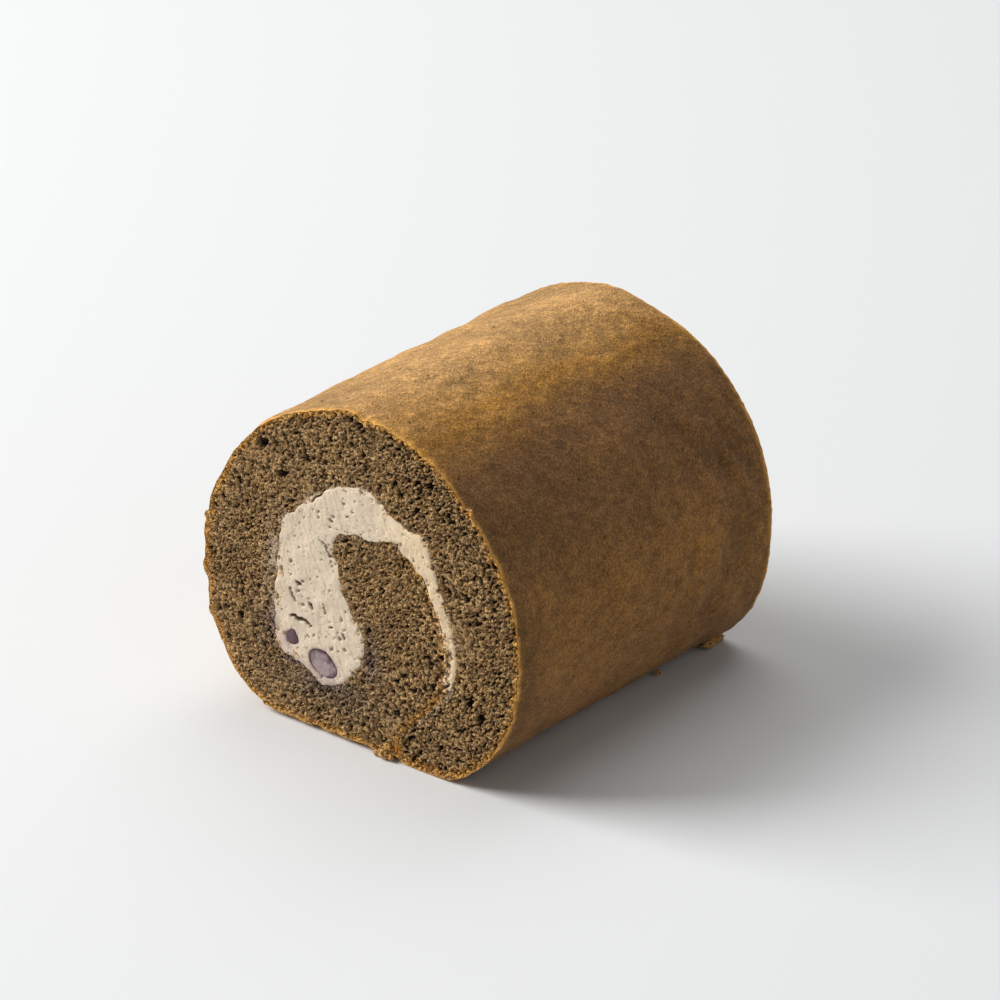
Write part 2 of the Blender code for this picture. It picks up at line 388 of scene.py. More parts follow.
def edge_wear(x, z, front):
    """How far the crust is worn back round a cut edge, in metres; negative at a tab."""
    away = np.hypot(x, z - MIDDLE) + 1e-9
    side, up = x / away * MIDDLE, (z - MIDDLE) / away * MIDDLE
    size, uneven, seed = (2.4 * MM, 1.3, 71) if front else (1.2 * MM, 0.6, 72)
    worn = 0.25 * MM * (1.0 + uneven * rough_noise(side, up, size, seed, 3))
    if front:
        angle = np.degrees(np.arctan2(up, side))
        for place, half_width, stand in TABS:
            off = np.radians((angle - place + 180) % 360 - 180) * MIDDLE / (half_width * MM)
            worn = worn - stand * MM * np.exp(-off ** 4)
    return worn


def sampled(line, step=0.03 * MM):
    """A closed line from smooth curve points, densely sampled."""
    closed = np.vstack([line, line[:1]])
    reach = np.concatenate([[0], np.cumsum(np.hypot(*np.diff(closed, axis=0).T))])
    places = np.arange(0, reach[-1], step)
    return np.column_stack([np.interp(places, reach, closed[:, k]) for k in (0, 1)])


class Section:
    """What shows at one end of the roll: its lines, all anticlockwise."""

    def __init__(self, front):
        self.front = front
        self.seed = 100 if front else 500
        nudge = 0.02 * MM
        loop, end = sheet_section(FRONT + nudge if front else REAR - nudge)
        outline = curve(loop[:end + 1], step=0.1 * MM)
        notch = (loop[end + 1] + loop[-1]) / 2
        after = loop[end + 1:]
        seam_count = self.seam_points(after)
        tongue_count = self.tongue_points(after[seam_count:])
        self.seam = curve((after[:seam_count] + after[::-1][:seam_count]) / 2, step=0.05 * MM)
        self.crust = curve(after[:seam_count + tongue_count], step=0.1 * MM)
        channel = curve(after[seam_count - 1:len(after) - seam_count + 1], step=0.1 * MM)
        worn = edge_wear(outline[:, 0], outline[:, 1], front) + 0.10 * MM
        rim = self.ragged(outline, 0.10 * MM, 0.9 * MM, 1) - outward(outline) * worn[:, None]
        self.outer = sampled(np.vstack([rim, notch + (0, 0.2 * MM)]))
        self.channel = sampled(self.ragged(channel, 0.42 * MM, 2.4 * MM, 7))

    def seam_points(self, after):
        """How many points of the section run up one side of the seam."""
        for index in range(2, len(after) // 2):
            if np.hypot(*(after[index] - after[-1 - index])) > 1.2 * MM:
                return index
        return 2

    def tongue_points(self, channel):
        """How many points of the channel lie along the tongue's crusted side."""
        return int(np.argmax(channel[:len(channel) // 2, 1])) + 1

    def ragged(self, line, depth, size, offset):
        """The line with a torn edge."""
        reach = np.concatenate([[0], np.cumsum(np.hypot(*np.diff(line, axis=0).T))])
        tear = rough_noise(reach, reach * 0, size, self.seed + offset, 4)
        return line + outward(line) * (tear * depth)[:, None]


def ellipse_falloff(flat, x, z, half_x, half_z, tilt=0.0):
    """Squared distance from an ellipse's centre, 1 on its edge."""
    turn = math.radians(tilt)
    dx, dz = flat[:, 0] - x * MM, flat[:, 1] - z * MM
    u = (dx * math.cos(turn) + dz * math.sin(turn)) / (half_x * MM)
    v = (dz * math.cos(turn) - dx * math.sin(turn)) / (half_z * MM)
    return u * u + v * v


def bean_stain(flat, section):
    """The purple that each bean at this end gives to what lies round it."""
    stain = np.zeros(len(flat))
    for node in BEAN_NODES[section.front]:
        low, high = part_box(node)
        middle = ((low + high) / 2).xz
        reach = 0.62 * (high - low).x
        away = np.hypot(flat[:, 0] - middle.x, flat[:, 1] - middle.y)
        stain += np.exp(-np.maximum(away - reach, 0) / (0.9 * MM))
    return np.clip(stain, 0, 1)


BEAN_NODES = {True: ["bean_front_large", "bean_front_small"],
              False: ["bean_rear_large", "bean_rear_small"]}

# Purple stains and damp, greyer crumb away from the beans: X, Z, half sizes and strength
STAINS = [(-18.8, 16.6, 4.4, 1.5, 0.95), (-9.0, 13.6, 7.5, 1.7, 0.75), (3.2, 24.0, 2.2, 5.0, 0.7),
          (12.3, 55.6, 1.8, 0.9, 0.7), (-26.0, 25.0, 1.8, 4.6, 0.95), (-22.5, 20.0, 2.2, 2.6, 0.7)]
DAMP = [(-10.0, 11.5, 17.0, 4.5, 1.0), (4.5, 22.0, 3.5, 8.0, 0.7), (-29.0, 24.0, 4.0, 8.0, 0.5)]


def patches(flat, spots):
    """Soft patches, 1 in the middle of the strongest."""
    total = np.zeros(len(flat))
    for x, z, half_x, half_z, strength in spots:
        total = np.maximum(total, strength * np.exp(-ellipse_falloff(flat, x, z, half_x, half_z)))
    return total


def open_cells(x, z, size, share, radius, seed, wall=0.6):
    """Scattered steep-sided pits: 0 outside them, 1 at the bottom.  wall is the share of
    the radius that the side takes up."""
    first, _, number = cells(x, z, size, seed)
    reach = radius[0] + (radius[1] - radius[0]) * number / share
    return step_up(1.0 - first / reach, 0.0, wall) * (number < share)


def threads(x, z, size, seed):
    """Crooked ridges: 1 along their tops, 0 between them."""
    return np.clip(1.0 - 2.2 * np.abs(soft_noise(x, z, size, seed)), 0, 1)


def crumb_texture(x, z, seed, front):
    """The height in millimetres of the open sponge and how deep its pits are."""
    drift = 3.0 * MM * soft_noise(x, z, 17 * MM, seed)
    warp = 0.30 * MM
    u = x + drift + warp * soft_noise(x, z, 0.9 * MM, seed + 1) + 0.5 * warp * soft_noise(x, z, 0.45 * MM, seed + 2)
    v = z - drift + warp * soft_noise(x, z, 0.9 * MM, seed + 3) + 0.5 * warp * soft_noise(x, z, 0.45 * MM, seed + 4)
    open_side = step_up(x, -26 * MM, 20 * MM) if front else 0.25
    openness = np.clip(0.18 + 0.55 * open_side + 0.4 * rough_noise(x, z, 9 * MM, seed + 5, 2), 0.05, 1.0)
    pits = np.maximum(1.25 * open_cells(u, v, 1.25 * MM, 0.62, (0.24, 0.48), seed + 10, 0.5),
                      1.05 * open_cells(u, v * 0.92, 0.80 * MM, 0.68, (0.26, 0.50), seed + 20))
    pits = np.maximum(pits, 1.80 * open_cells(u, v, 2.2 * MM, 0.34, (0.14, 0.32), seed + 30, 0.35))
    pits = np.maximum(pits, 0.70 * open_cells(u, v, 0.55 * MM, 0.58, (0.32, 0.50), seed + 40))
    pits = pits * (0.60 + 0.95 * openness)
    height = (0.30 * threads(u, v, 0.90 * MM, seed + 50) + 0.32 * threads(u, v, 0.48 * MM, seed + 51)
              + 0.16 * rough_noise(x, z, 4.5 * MM, seed + 52, 2) - 0.40)
    return height - pits, pits


def crumb_relief(flat, section):
    """The relief of the cut sponge and what its material needs to know."""
    x, z = flat.T
    seed = section.seed
    edge, _ = distances(flat, section.outer[::3])
    gap, _ = distances(flat, section.channel[::3])
    seam = left_of(flat, section.seam)
    crust = left_of(flat, section.crust)
    height, pits = crumb_texture(x, z, seed, section.front)

    calm = np.exp(-(edge / (0.9 * MM)) ** 2)
    height = height * (1.0 - 0.5 * calm) - 0.12 * calm
    pits = pits * (1.0 - 0.6 * calm)

    ragged = 0.4 * MM * np.column_stack([soft_noise(x, z, 0.8 * MM, seed + k) for k in (60, 61)])
    for hole in CRUMB_HOLES:
        inside = np.sqrt(np.clip(1.0 - ellipse_falloff(flat + ragged, *hole), 0, 1))
        height, pits = height - 2.0 * inside, np.maximum(pits, 1.4 * inside)
    wander = 0.22 * MM * soft_noise(x, z, 1.6 * MM, seed + 62)
    split = np.exp(-(np.maximum(abs(seam) + wander, 0) / (0.30 * MM)) ** 2)
    split *= step_up(soft_noise(x, z, 5 * MM, seed + 63), -0.9, 0.2)
    split *= 1.0 - 0.75 * step_up(z, 3 * MM, 9 * MM)
    if section.front:
        line = curve(np.array(OPEN_EDGE) * MM, step=0.05 * MM)
        split = np.maximum(split, 0.9 * np.exp(-((distances(flat, line)[0] + wander) / (0.26 * MM)) ** 2))
    height, pits = height - 1.1 * split, np.maximum(pits, 0.9 * split)

    torn = rough_noise(x, z, 2.1 * MM, seed + 64, 2)
    smear = np.exp(-gap / (0.7 * MM)) * step_up(torn, -0.15, 0.35)
    side = 0.9 * np.exp(-ellipse_falloff(flat, -25.2, 40.0, 2.8, 11.0)) * step_up(torn, -0.7, 0.3)
    tail = 0.55 * np.exp(-((seam + 1.1 * MM) / (0.9 * MM)) ** 2) * step_up(z, 6 * MM, 18 * MM)
    smear = np.clip(smear + side + tail * step_up(torn, -0.9, 0.2), 0, 1) * (1.0 - split)
    height = height * (1.0 - 0.8 * smear)
    pits = pits * (1.0 - 0.7 * smear)

    width = 1.3 + 0.6 * step_up(-x, 30 * MM, 46 * MM) * step_up(z, 20 * MM, 32 * MM)
    width += 0.9 * step_up(-z, -12 * MM, -2 * MM) * step_up(x, 10 * MM, 16 * MM)
    band = np.maximum(width + 0.8 * rough_noise(x, z, 1.6 * MM, seed + 65, 3), 0.4) * MM
    rim = 1.0 - step_up(edge, 0.35 * band, 1.5 * band)
    inner = np.exp(-(crust / np.where(crust > 0, 1.5 * MM, 0.35 * MM)) ** 2)
    inner *= 0.7 + 0.3 * step_up(rough_noise(x, z, 3 * MM, seed + 66, 3), -0.5, 0.4)
    pits = pits * (1.0 - 0.5 * inner)
    spots = patches(flat, STAINS) if section.front else 0.0
    damp = patches(flat, DAMP) if section.front else 0.0 * x
    stained = np.exp(-gap / (0.8 * MM)) * spots * step_up(torn, -0.8, 0.2)
    smear = np.clip(smear + stained, 0, 1)
    pits = pits * (1.0 - 0.5 * stained)
    # The pit value also darkens the colour: painted shade in the pits, holes and gaps
    values = {"pit_shade": pits, "crust": np.clip(rim + inner, 0, 1), "smear": smear,
              "stain": np.clip(spots + 0.8 * bean_stain(flat, section), 0, 1), "damp": damp}
    return height * MM, values


def crack_depth(flat, section):
    """How deep the cream's named cracks and blowholes go, in millimetres."""
    total = np.zeros(len(flat))
    jag = 0.28 * MM * soft_noise(flat[:, 0], flat[:, 1], 0.6 * MM, section.seed + 90)
    for points, half_width in CREAM_CRACKS:
        line = curve(np.array(points) * MM, step=0.05 * MM)
        near = np.all((flat > line.min(0) - 2 * MM) & (flat < line.max(0) + 2 * MM), axis=1)
        away, index = distances(flat[near], line)
        taper = np.sin(math.pi * np.clip(index / (len(line) - 1), 0.05, 0.95)) ** 0.25
        inside = np.clip(1.0 - (np.maximum(away + jag[near], 0) / (half_width * MM * taper)) ** 2, 0, 1)
        total[near] = np.maximum(total[near], np.sqrt(inside) * (0.5 + half_width))
    return total


def cream_relief(flat, section, bean_lines):
    """The relief of the cut cream and what its material needs to know."""
    x, z = flat.T
    seed = section.seed + 200
    edge, _ = distances(flat, section.channel[::3])
    beans = np.min([distances(flat, line)[0] for line in bean_lines], axis=0)

    bend = 1.6 * MM * soft_noise(x, z, 11 * MM, seed + 2)
    u = x * math.cos(0.35) + z * math.sin(0.35) + bend
    v = z * math.cos(0.35) - x * math.sin(0.35)
    height = 0.20 * rough_noise(x, z, 7 * MM, seed, 2) + 0.06 * rough_noise(x, z, 1.5 * MM, seed + 1, 3)
    height += 0.05 * soft_noise(u * 3.4, v * 0.45, 1.6 * MM, seed + 3)
    height += 0.10 * step_up(rough_noise(u * 1.5, v * 0.8, 4 * MM, seed + 4, 3), 0.1, 0.2)
    height -= 0.06 * threads(u * 1.4, v * 0.5, 2.2 * MM, seed + 5) * step_up(
        soft_noise(x, z, 8 * MM, seed + 6), -0.2, 0.5)

    pits = np.zeros(len(flat))
    for size, share, deep in ((2.9, 0.20, 0.50), (1.7, 0.20, 0.38), (1.0, 0.20, 0.25)):
        pits = np.maximum(pits, deep * open_cells(u, v * 0.8, size * MM, share, (0.10, 0.25), seed + int(size * 10)))
    if section.front:
        pits = np.maximum(pits, 1.25 * crack_depth(flat, section))
    height -= pits

    torn = rough_noise(x, z, 1.4 * MM, seed + 7, 3)
    lip = step_up(soft_noise(x, z, 4 * MM, seed + 8), -0.4, 0.6) * step_up(x, -22 * MM, -15 * MM)
    height -= (0.08 + 0.40 * lip) * np.exp(-edge / (0.22 * MM))
    height -= 0.22 * np.exp(-beans / (0.2 * MM))
    if section.front:
        line = curve(np.array(OPEN_EDGE) * MM, step=0.05 * MM)
        opened = np.exp(-(distances(flat, line)[0] / (0.25 * MM)) ** 2)
        height -= 0.9 * opened
        pits = np.maximum(pits, opened)
    crumbs = step_up(torn, 0.30, 0.55) * np.exp(-edge / (0.9 * MM))
    crust, _ = distances(flat, section.crust)
    mixed = np.exp(-(crust / (1.7 * MM)) ** 4) * (1.0 - step_up(z, 31 * MM, 38 * MM))
    crumbs += 1.1 * mixed * step_up(torn, -0.7, 0.1)
    thin = step_up(x, 16 * MM, 22 * MM) * (1.0 - step_up(z, 28 * MM, 40 * MM))
    side = np.exp(-ellipse_falloff(flat, -24.4, 40.0, 1.9, 10.0))
    floor = np.exp(-ellipse_falloff(flat, -19.5, 19.0, 6.5, 2.0, -38.0))
    crumbs += 0.6 * thin * step_up(torn, 0.0, 0.5) + (0.7 * side + 0.6 * floor) * step_up(torn, -0.3, 0.5)
    crumbs = np.clip(crumbs, 0, 1)
    grain, holes = crumb_texture(x, z, section.seed, section.front)
    height += crumbs * (0.12 * torn + 0.6 * grain)
    pits = np.maximum(pits, crumbs * holes)
    stain = 0.6 * np.exp(-beans / (0.7 * MM)) + 0.8 * (patches(flat, STAINS) if section.front else 0.0)
    pink = np.exp(-edge / (1.0 * MM)) * (1.0 - step_up(z, 24 * MM, 34 * MM)) * step_up(-x, 4 * MM, 9 * MM)
    stain += 0.9 * pink * step_up(torn, -0.5, 0.4)
    # The pit value also darkens the colour: painted shade in the pits and cracks
    return height * MM, {"pit_shade": np.clip(pits, 0, 1), "crumbs": crumbs, "stain": np.clip(stain, 0, 1),
                         "warm": step_up(x, 0.0, 22 * MM)}


def bean_outline(node, front):
    """A cut bean's outline, a little angular."""
    nudge = 0.05 * MM if front else -0.05 * MM
    loop = section_loops(node, (FRONT if front else REAR) + nudge)[0]
    line = sampled(curve(np.vstack([loop, loop[:1]]), step=0.1 * MM)[:-1])
    away = line - line.mean(0)
    angle = np.arctan2(away[:, 1], away[:, 0])
    uneven = 0.055 * np.cos(4 * angle + 0.9) + 0.05 * np.cos(3 * angle + 2.0)
    return line.mean(0) + away * (1 + uneven * (1.0 if "small" in node else 0.3))[:, None]


def bean_relief(flat, line, seed, small):
    """The relief of a cut bean: a faint dome, grainy flesh and a thin skin round it."""
    x, z = flat.T
    edge, _ = distances(flat, line)
    torn = rough_noise(x, z, 1.2 * MM, seed + 4, 3)
    away = flat - line.mean(0)
    upper_left = (0.6 * away[:, 1] - 0.8 * away[:, 0]) / (np.hypot(*away.T) + 1e-9)
    skin = np.exp(-(edge / ((0.32 + 0.10 * upper_left + 0.14 * torn) * MM)) ** 2)
    skin *= np.clip(0.62 + 0.5 * upper_left + 0.3 * torn, 0.1, 1.0)
    height = 0.12 - 0.28 * np.exp(-edge / (0.35 * MM)) + 0.07 * rough_noise(x, z, 0.9 * MM, seed, 3)
    pale = step_up(rough_noise(x, z, 2.8 * MM, seed + 3, 3) + 0.35 * step_up(edge, 0, 1.6 * MM), -0.3, 0.6)
    pale *= 0.10 if small else 0.9
    return height * MM, {"skin": skin, "pale": pale}


# ------------------------------------------------------------------------------ the skin

def skin_rows():
    """The sheet's outside at each CAD station, from inside the seam round to the seam."""
    points, _ = solid("sponge")
    stations = np.unique(np.round(points[:, 1], 4))
    rows = []
    for y in stations:
        inward = 0.02 * MM if y < (FRONT + REAR) / 2 else -0.02 * MM
        loop, end = sheet_section(y + inward)
        path = np.vstack([loop[-SKIN_TUCK:], loop[:end + 1 + SKIN_TUCK]])
        rows.append(curve(path, count=SKIN_ROUND))
    return stations, np.array(rows)


# How golden the crust is round the roll, partly its real browning and partly painted light: lighter on the top where
# the light falls, darker on the shaded side. Degrees and share, the rest being darker brown
SKIN_TONE_AND_LIGHT = [(-180, 0.8), (-90, 0.5), (-30, 0.12), (0, 0.20), (20, 0.05), (44, 0.0), (50, 0.06),
             (62, 0.42), (72, 0.68), (84, 0.88), (98, 1.0), (150, 0.9), (180, 0.8)]


def skin_places():
    """Where the skin's rows lie along the roll, closer together near its ends."""
    end = 0.22 * MM + 0.16 * MM * np.arange(10)
    count = int((LENGTH - 2 * end[-1]) / SKIN_STEP)
    between = np.linspace(end[-1], LENGTH - end[-1], count)[1:-1]
    return FRONT + np.concatenate([end, between, LENGTH - end[::-1]])


def skin_texture(s, y, angle):
    """The height of the crust in millimetres and its few small pits."""
    seed = 900
    height = 0.40 * rough_noise(s, y, 17 * MM, seed, 2)
    height += 0.20 * rough_noise(s * 0.7, y * 1.3, 5.5 * MM, seed + 1, 3)
    lumpy = 0.07 + 0.14 * step_up(angle, 45, 65) * (1.0 - step_up(angle, 90, 110))
    height += lumpy * rough_noise(s, y * 0.8, 2.6 * MM, seed + 2, 2)
    folded = step_up(y, -15 * MM, 25 * MM) * (1.0 - step_up(angle, 15, 50)) * step_up(angle, -60, -20)
    height += 0.60 * folded * rough_noise(s * 0.45 + 0.5 * y, y, 4.2 * MM, seed + 3, 2)
    pits = open_cells(s, y, 4.0 * MM, 0.40, (0.03, 0.085), seed + 4)
    return height - 0.2 * pits, pits


def grid_faces(rows, columns, start):
    """The quads between the points of a grid that are numbered row by row from start."""
    index = start + np.arange(rows * columns).reshape(rows, columns)
    return np.stack([index[:-1, :-1].ravel(), index[:-1, 1:].ravel(),
                     index[1:, 1:].ravel(), index[1:, :-1].ravel()], 1).tolist()


def skin_piece(finish):
    """The browned crust as a closed shell round the sheet."""
    stations, rows = skin_rows()
    ys = skin_places()
    count = len(ys)
    base = np.array([[np.interp(ys, stations, rows[:, column, k]) for column in range(SKIN_ROUND)]
                     for k in (0, 1)]).transpose(2, 1, 0)
    normal = np.array([outward(line) for line in base])
    reach = np.concatenate([[0], np.cumsum(np.hypot(*np.diff(base[0], axis=0).T))])
    s = np.broadcast_to(reach, base.shape[:2])
    y = np.broadcast_to(ys[:, None], base.shape[:2])
    angle = np.degrees(np.arctan2(base[..., 1] - MIDDLE, base[..., 0]))

    rise, pits = skin_texture(s, y, angle)
    front_half = y < (FRONT + REAR) / 2
    worn = np.where(front_half, edge_wear(base[..., 0], base[..., 1], True),
                    edge_wear(base[..., 0], base[..., 1], False))
    edge = np.minimum(y - FRONT, REAR - y)
    fall = np.exp(-(edge / (1.4 * MM)) ** 2)
    height = rise * MM * (1.0 - fall) - (worn + 0.04 * MM) * fall
    outer = base + normal * height[..., None]

    inner_rows = np.unique(np.concatenate([np.arange(0, count, 8), [count - 1]]))
    inner = base[inner_rows] - normal[inner_rows] * 1.7 * MM
    inner_y = np.clip(y[inner_rows], FRONT + 1.8 * MM, REAR - 1.8 * MM)
    points = np.vstack([np.stack([outer[..., 0], y, outer[..., 1]], -1).reshape(-1, 3),
                        np.stack([inner[..., 0], inner_y, inner[..., 1]], -1).reshape(-1, 3)])
    points[:, 2] = np.maximum(points[:, 2], 0.0)

    start = count * SKIN_ROUND
    faces = grid_faces(count, SKIN_ROUND, 0)
    shown = len(faces)
    faces += grid_faces(len(inner_rows), SKIN_ROUND, start)
    last_outer = (count - 1) * SKIN_ROUND
    last_inner = start + (len(inner_rows) - 1) * SKIN_ROUND
    for k in range(SKIN_ROUND - 1):
        faces.append((k + 1, k, start + k, start + k + 1))
        faces.append((last_outer + k, last_outer + k + 1, last_inner + k + 1, last_inner + k))
    for column in (0, SKIN_ROUND - 1):
        faces.append([row * SKIN_ROUND + column for row in range(count)]
                     + [start + row * SKIN_ROUND + column for row in reversed(range(len(inner_rows)))])

    band = (1.0 + 0.4 * rough_noise(s, y, 2.0 * MM, 930, 3)) * MM
    drift = 5.0 * rough_noise(s, y, 20 * MM, 931, 4) - 1.0 + 4.5 * step_up(y, 0, 45 * MM)
    # Darker towards the bottom on the right, near the front cut
    low_right = (1.0 - step_up(angle + drift, 0, 30)) * step_up(angle, -80, -50)
    darker_low_front = low_right * (1.0 - step_up(y + 0.2 * MM * drift, FRONT + 2 * MM, FRONT + 15 * MM))
    # The crust's browning round the roll together with painted light on its top
    degrees, shares = zip(*SKIN_TONE_AND_LIGHT)
    values = {"rim": np.exp(-(edge / band) ** 2), "pit_shade": pits, "rise": rise, "darker_low_front": darker_low_front,
              "gold_and_painted_light": np.interp(angle + drift, degrees, shares)}
    rest = np.zeros(len(points) - start)
    values = {label: np.concatenate([numbers.ravel(), rest]) for label, numbers in values.items()}
    made = make_object("skin", points, faces, finish, values)
    close_up(made, shown)
    return made


# Loose crumbs and torn bits of crust: X, Y, Z of the middle and the half sizes, in mm
CRUMBS = [(7.6, -49.5, 1.2, 1.5, 0.9, 1.1), (9.6, -49.3, 0.8, 0.8, 0.7, 0.75), (5.3, -49.2, 0.7, 0.9, 0.6, 0.6),
          (8.4, -48.9, 3.1, 1.0, 0.6, 0.9), (3.4, -48.8, 83.0, 0.8, 0.5, 0.6), (6.7, -48.7, 83.1, 0.6, 0.5, 0.5),
          (0.3, -48.8, 83.9, 0.6, 0.5, 0.4), (32.9, 22.6, 0.8, 0.7, 1.0, 0.6), (33.6, 43.2, 1.2, 1.9, 4.4, 1.2)]


def loose_crumbs(finish):
    """The crumbs as rough lumps."""
    shape = bmesh.new()
    bmesh.ops.create_icosphere(shape, subdivisions=4, radius=1.0)
    unit = np.array([vertex.co for vertex in shape.verts])
    corners = [[vertex.index for vertex in face.verts] for face in shape.faces]
    shape.free()
    points, faces = [], []
    for number, crumb in enumerate(CRUMBS):
        middle, half = np.array(crumb[:3]) * MM, np.array(crumb[3:]) * MM
        x, y, z = unit.T
        lump = rough_noise(x + 0.6 * z, y - 0.5 * z, 0.9, 950 + number, 3)
        grain = rough_noise(x - 0.7 * z, y + 0.6 * z, 0.3, 970 + number, 2)
        lumpy = middle + unit * half * (1.0 + 0.30 * lump + 0.20 * grain)[:, None]
        faces += [[corner + len(points) * len(unit) for corner in face] for face in corners]
        points.append(lumpy)
    points = np.vstack(points)
    points[:, 2] = np.maximum(points[:, 2], 0.0)
    crust = 0.45 + 0.5 * rough_noise(points[:, 0] + points[:, 2], points[:, 1], 1.1 * MM, 990, 2)
    return make_object("crumbs", points, faces, finish, {"crust": np.clip(crust, 0, 1)})


def core(node, name, inset, finish):
    """The inside of a CAD solid, a little smaller, behind the detailed faces."""
    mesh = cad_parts[node].data.copy()
    mesh.name = name
    mesh.materials.clear()
    mesh.materials.append(finish)
    shape = bmesh.new()
    shape.from_mesh(mesh)
    bmesh.ops.remove_doubles(shape, verts=shape.verts, dist=1e-6)
    shape.normal_update()
    for vertex in shape.verts:
        side = Vector((vertex.normal.x, 0, vertex.normal.z)).normalized()
        vertex.co -= side * inset
        vertex.co.y *= 1.0 - 2 * (SLAB - 1 * MM) / LENGTH
    shape.to_mesh(mesh)
    shape.free()
    made = bpy.data.objects.new(name, mesh)
    bpy.context.scene.collection.objects.link(made)
    return made


# ----------------------------------------------------------------------------- materials

def add(tree, kind, sockets=None, **settings):
    """A node with settings and with values or links on its input sockets."""
    made = tree.nodes.new(kind)
    for name, value in settings.items():
        setattr(made, name, value)
    for key, value in (sockets or {}).items():
        if isinstance(value, bpy.types.NodeSocket):
            tree.links.new(value, made.inputs[key])
        else:
            made.inputs[key].default_value = value
    return made


def value_of(tree, label):
    """A named point value."""
    return add(tree, "ShaderNodeAttribute", attribute_name=label).outputs["Fac"]


def noise(tree, scale, detail=4.0, roughness=0.6):
    """Noise in the object's own metres, 0 to 1."""
    place = add(tree, "ShaderNodeTexCoord").outputs["Object"]
    return add(tree, "ShaderNodeTexNoise", {"Vector": place, "Scale": scale, "Detail": detail,
                                            "Roughness": roughness}).outputs["Fac"]


def streaks(tree, scale, turn, stretch):
    """Noise drawn out level, along a line turned by so many degrees from Y."""
    place = add(tree, "ShaderNodeTexCoord").outputs["Object"]
    drawn = add(tree, "ShaderNodeMapping", {"Vector": place, "Rotation": (0, 0, math.radians(turn)),
                                            "Scale": (1.0, stretch, 1.0)}, vector_type="TEXTURE")
    return add(tree, "ShaderNodeTexNoise", {"Vector": drawn.outputs[0], "Scale": scale,
                                            "Detail": 4.0, "Roughness": 0.6}).outputs["Fac"]


def ramp(tree, factor, low, high, start=0.0, end=1.0):
    """A number taken from low..high to start..end."""
    return add(tree, "ShaderNodeMapRange", {"Value": factor, "From Min": low, "From Max": high,
                                            "To Min": start, "To Max": end}).outputs["Result"]


def mix(tree, factor, first, second, kind="MIX"):
    """Two colours mixed."""
    made = add(tree, "ShaderNodeMix", data_type="RGBA", blend_type=kind)
    for index, value in ((0, factor), (6, first), (7, second)):
        if isinstance(value, bpy.types.NodeSocket):
            tree.links.new(value, made.inputs[index])
        elif index:
            made.inputs[index].default_value = (*value, 1.0)
        else:
            made.inputs[index].default_value = value
    return made.outputs[2]


def bump(tree, height, strength, distance):
    """A bump from a height in 0..1 that stands for the given distance."""
    return add(tree, "ShaderNodeBump", {"Height": height, "Strength": strength,
                                        "Distance": distance}).outputs["Normal"]


def new_material(name, roughness):
    """An empty Principled material: the material, its tree and its shader."""
    made = bpy.data.materials.new(name)
    made.use_nodes = True
    shader = made.node_tree.nodes["Principled BSDF"]
    shader.inputs["Roughness"].default_value = roughness
    return made, made.node_tree, shader


# Painted highlights on the crumb's threads
CRUMB_THREAD_HIGHLIGHT = (1.0, 0.665, 0.285)
CRUMB_DARK = (0.47, 0.262, 0.096)
# Painted shade for the crumb's pits and holes
CRUMB_PIT_SHADE = (0.022, 0.010, 0.004)
CRUST_LIGHT = (0.98, 0.52, 0.11)
CRUST_DARK = (0.62, 0.28, 0.053)
# The crust's colours from the shaded side to the lit top: their spread is partly its real browning and partly
# painted light
SKIN_GOLD = (0.51, 0.285, 0.102)
SKIN_AMBER = (0.375, 0.172, 0.026)
SKIN_BROWN = (0.242, 0.116, 0.038)
CREAM = (0.79, 0.645, 0.475)
CREAM_WARM = (0.84, 0.63, 0.38)
CREAM_SMEAR = (0.56, 0.435, 0.30)
STAIN = (0.27, 0.175, 0.185)


def shade(tree, colour, factor):
    """A colour made lighter or darker."""
    grey = add(tree, "ShaderNodeCombineColor", {"Red": factor, "Green": factor, "Blue": factor})
    return mix(tree, 1.0, colour, grey.outputs[0], "MULTIPLY")


def web(tree, scale, width):
    """Crooked thin threads in the object's own metres, 1 along their middles."""
    away = add(tree, "ShaderNodeMath", {0: noise(tree, scale, 1.0), 1: 0.5}, operation="SUBTRACT")
    size = add(tree, "ShaderNodeMath", {0: away.outputs[0]}, operation="ABSOLUTE")
    return ramp(tree, size.outputs[0], 0.0, width, 1.0, 0.0)


